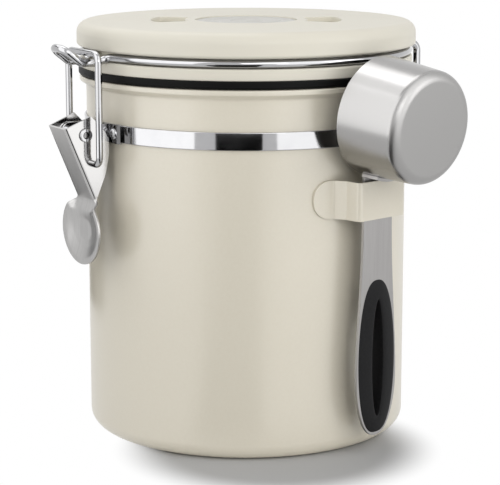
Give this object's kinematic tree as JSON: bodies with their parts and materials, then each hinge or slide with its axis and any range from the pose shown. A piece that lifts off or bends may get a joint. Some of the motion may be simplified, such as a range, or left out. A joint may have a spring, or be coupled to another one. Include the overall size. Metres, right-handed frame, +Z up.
{
  "type": "coffee canister",
  "caption": "Airtight coffee canister with a clamp lid on a wire hinge, an over-centre latch, a one-way valve, date rings under the lid's windows, and a scoop hung in a side strap.",
  "frame": {"origin": "centre of the canister's foot, on the surface it stands on", "axes": "+Z up along the canister's axis, -Y towards the latch, +Y towards the lid's hinge"},
  "size_m": [0.1654, 0.1603, 0.1602],
  "materials": {
    "cream_coat": "matte powder coat",
    "cream_plastic": "fine matte",
    "polished_steel": "mirror polished",
    "brushed_steel": "brushed",
    "black_seal": "smooth silicone",
    "black_grip": "soft matte",
    "valve_rubber": "smooth silicone",
    "centre_disc": "fine matte",
    "dial_white": "fine matte"
  },
  "bodies": {
    "canister": {"canister_body": "cream_coat", "clamp_band": "polished_steel", "latch_bracket": "polished_steel", "latch_bracket_rivets": "polished_steel", "lever_pivot_rivet": "polished_steel", "hinge_bracket": "polished_steel", "hinge_bracket_rivets": "polished_steel", "scoop_holder": "cream_coat"},
    "lid": {"lid_base": "cream_plastic", "lid_floor": "cream_plastic", "lid_cover": "cream_plastic", "lid_wire": "polished_steel", "lid_gasket": "black_seal", "lid_centre_disc": "centre_disc", "valve_seat": "cream_plastic", "valve_cap": "cream_plastic"},
    "lever": {"latch_lever": "brushed_steel"},
    "bail": {"latch_bail": "polished_steel"},
    "month_dial": {"month_ring": "dial_white"},
    "day_dial": {"day_ring": "dial_white"},
    "valve_flap": {"valve_disc": "valve_rubber"},
    "scoop": {"scoop_cup": "brushed_steel", "scoop_handle": "brushed_steel", "scoop_grip": "black_grip"}
  },
  "joints": [
    {"name": "lid_hinge", "type": "hinge", "parent": "canister", "child": "lid", "pos_m": [0, 0.0735, 0.1208], "axis": [-1, 0, 0], "range_deg": [0, 100]},
    {"name": "latch_lever_pivot", "type": "hinge", "parent": "canister", "child": "lever", "pos_m": [0, -0.0746, 0.1208], "axis": [-1, 0, 0], "range_deg": [0, 115]},
    {"name": "bail_pivot", "type": "hinge", "parent": "lever", "child": "bail", "pos_m": [0, -0.0714, 0.1099], "axis": [-1, 0, 0], "range_deg": [-95, 0]},
    {"name": "month_turn", "type": "hinge", "parent": "lid", "child": "month_dial", "pos_m": [0, 0, 0.1564], "axis": [0, 0, 1], "continuous": true},
    {"name": "day_turn", "type": "hinge", "parent": "lid", "child": "day_dial", "pos_m": [0, 0, 0.1564], "axis": [0, 0, 1], "continuous": true},
    {"name": "valve_lift", "type": "slide", "parent": "lid", "child": "valve_flap", "axis": [0, 0, 1], "range_m": [0, 0.0009]},
    {"name": "scoop_lift", "type": "slide", "parent": "canister", "child": "scoop", "axis": [0, 0, 1], "range_m": [0, 0.105]}
  ],
  "couplings": [
    {"joint": "bail_pivot", "follows": "latch_lever_pivot", "ratio": -0.8}
  ]
}
